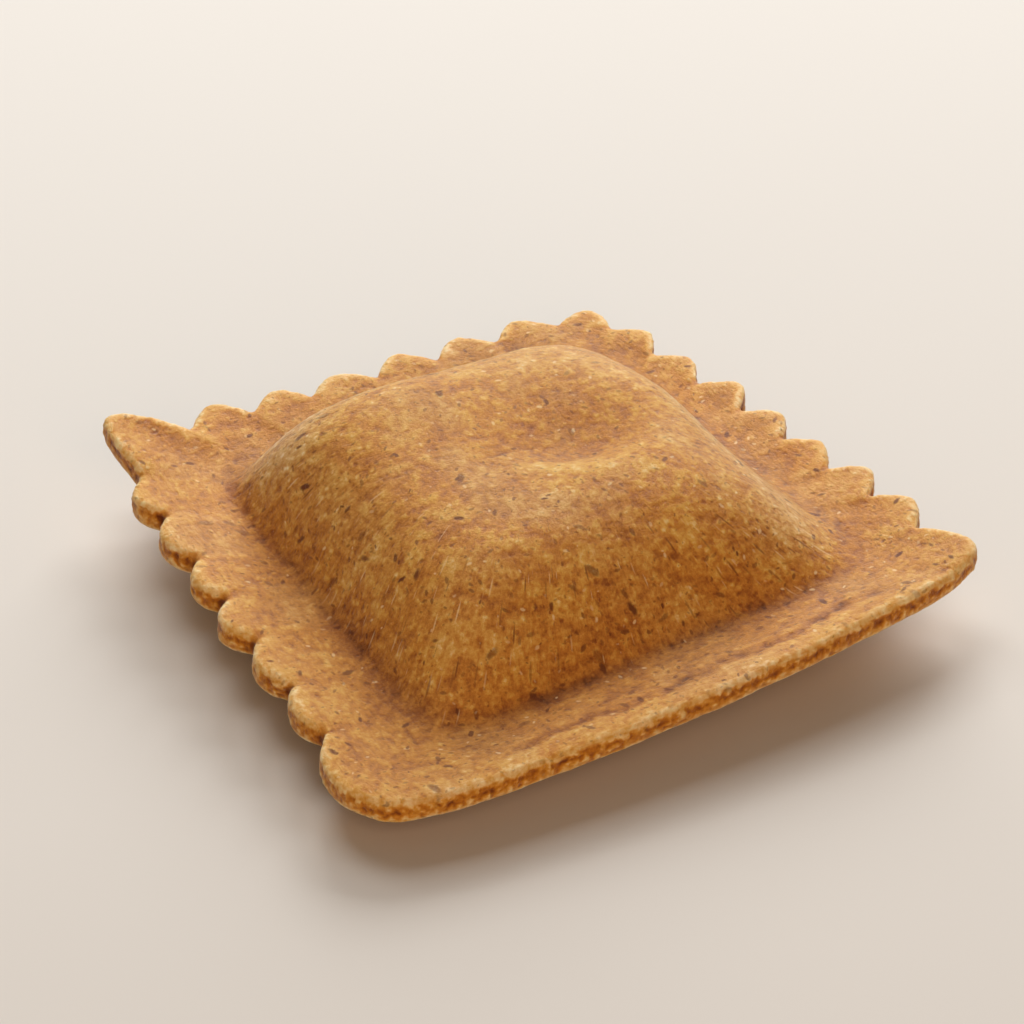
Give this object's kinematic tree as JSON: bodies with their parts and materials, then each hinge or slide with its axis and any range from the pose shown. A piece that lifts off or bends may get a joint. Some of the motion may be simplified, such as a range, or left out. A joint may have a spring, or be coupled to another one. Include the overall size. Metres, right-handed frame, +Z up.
{
  "type": "raviolo",
  "caption": "Square whole-grain raviolo: a plump filled middle in a pressed dough border, fluted on all sides but a plain cut front.",
  "frame": {"origin": "on the table under the middle of the raviolo's outline, at the level of the flat of its belly", "axes": "+Z up out of the filled mound; the plain cut side faces -Y; the long ear is at -X +Y"},
  "size_m": [0.053, 0.0506, 0.0134],
  "materials": {
    "dough": "matt, dry whole-grain pasta dough, lightly floured, with dark bran flecks"
  },
  "bodies": {
    "root": {"raviolo": "dough"}
  },
  "joints": []
}
